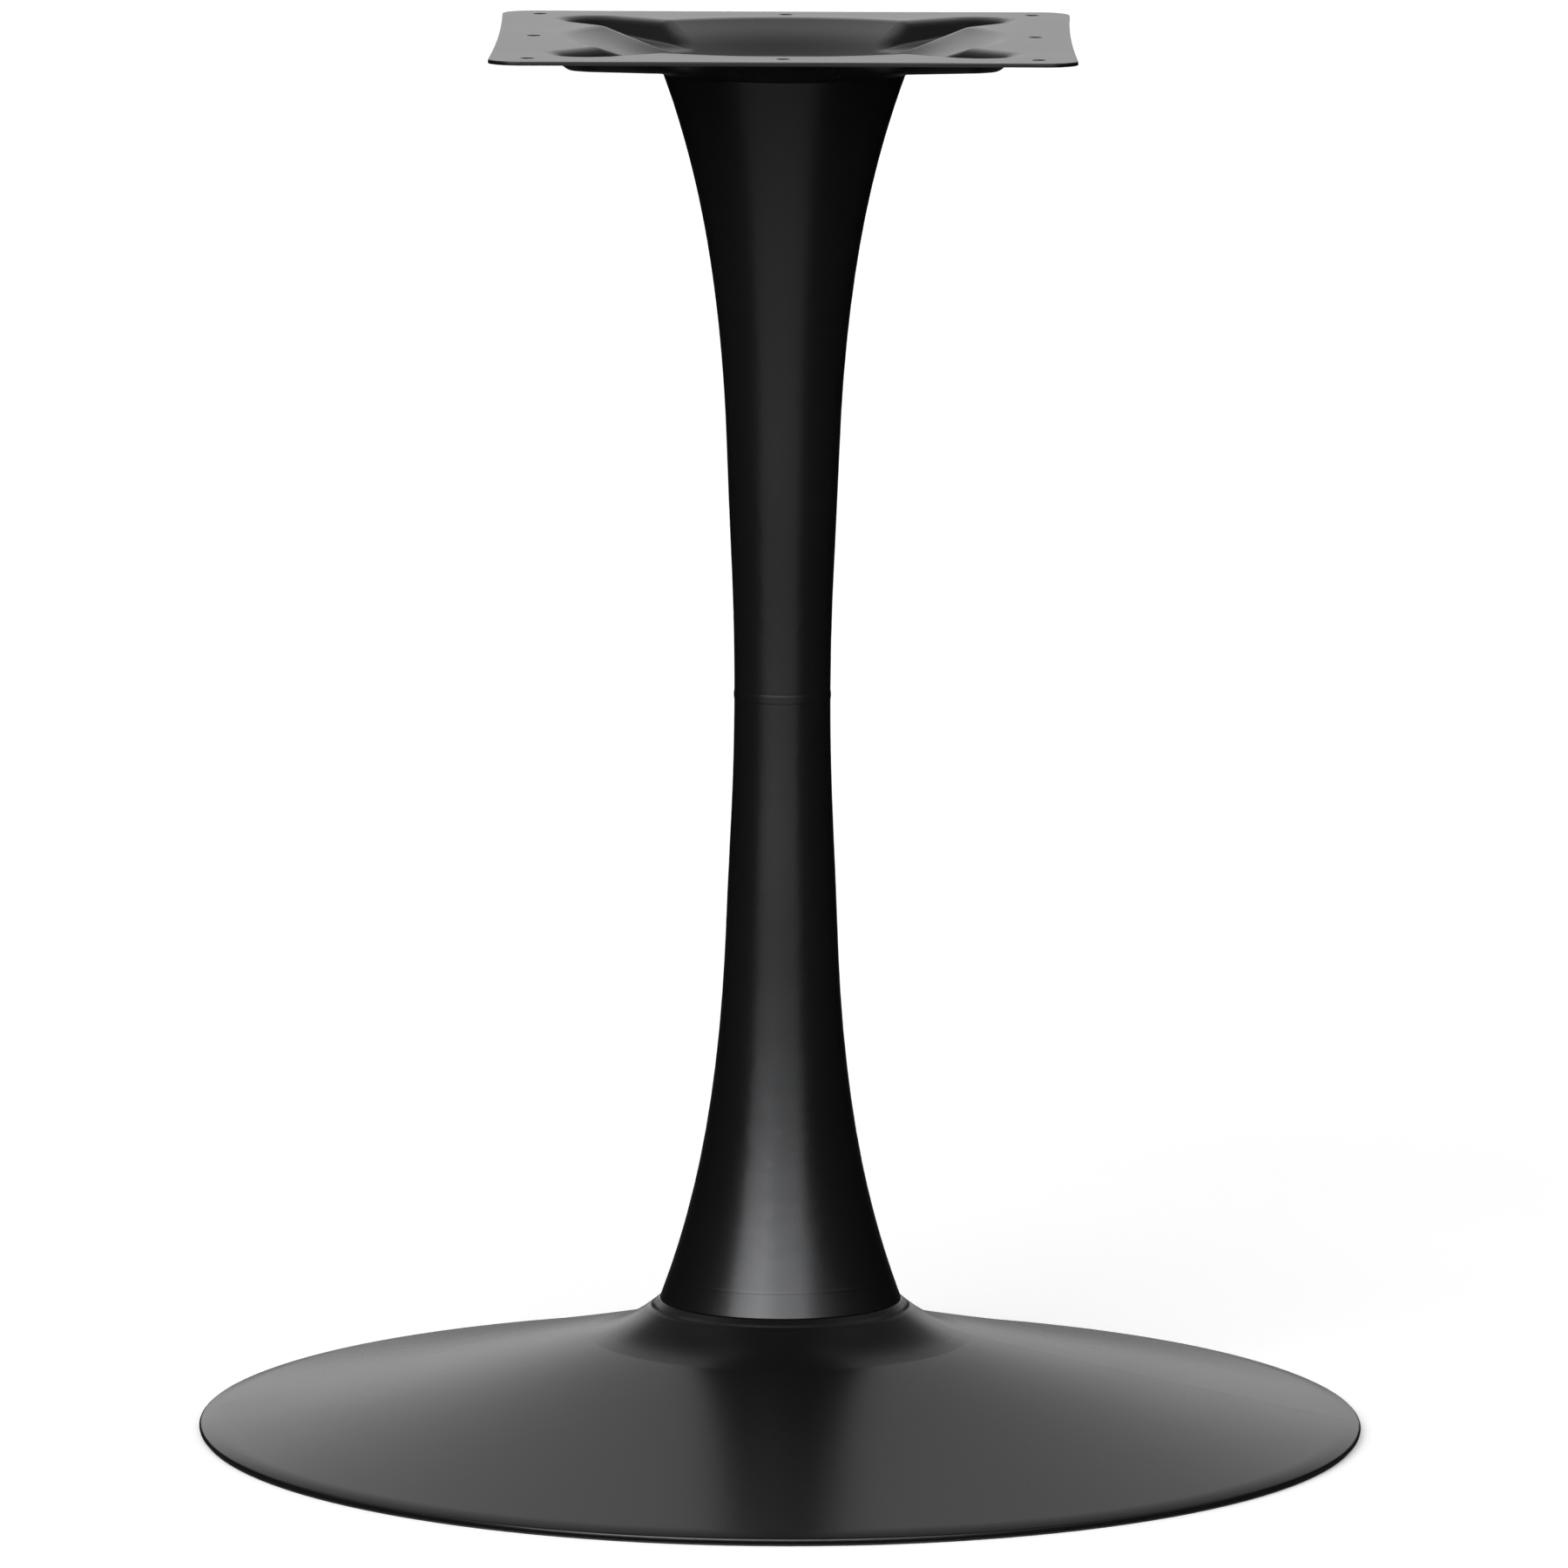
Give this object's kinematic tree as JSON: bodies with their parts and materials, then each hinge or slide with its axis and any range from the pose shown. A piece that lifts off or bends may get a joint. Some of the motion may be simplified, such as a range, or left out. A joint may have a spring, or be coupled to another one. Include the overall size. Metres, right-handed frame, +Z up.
{
  "type": "pedestal table base",
  "caption": "Trumpet-shaped pedestal table base: flared column on a round domed foot disc, with a square pressed plate to screw a table top to.",
  "frame": {"origin": "centre of the foot disc on the floor, on the column's axis", "axes": "+Z up along the column, X and Y along the sides of the square top plate, -Y towards the front"},
  "size_m": [0.5995, 0.5994, 0.72],
  "materials": {
    "black_coat": "satin black powder coat on steel sheet",
    "black_coat_plate": "satin black powder coat on pressed steel sheet",
    "rubber": "matt black",
    "cast_ballast": "rough, painted dark grey",
    "zinc": "bright zinc plate"
  },
  "bodies": {
    "root": {"top_plate": "black_coat_plate", "column": "black_coat", "base_disc": "black_coat", "floor_ring": "rubber", "ballast_plate": "cast_ballast", "clamp_disc": "zinc", "tie_rod": "zinc", "washer": "zinc", "spring_washer": "zinc", "nut": "zinc"}
  },
  "joints": []
}
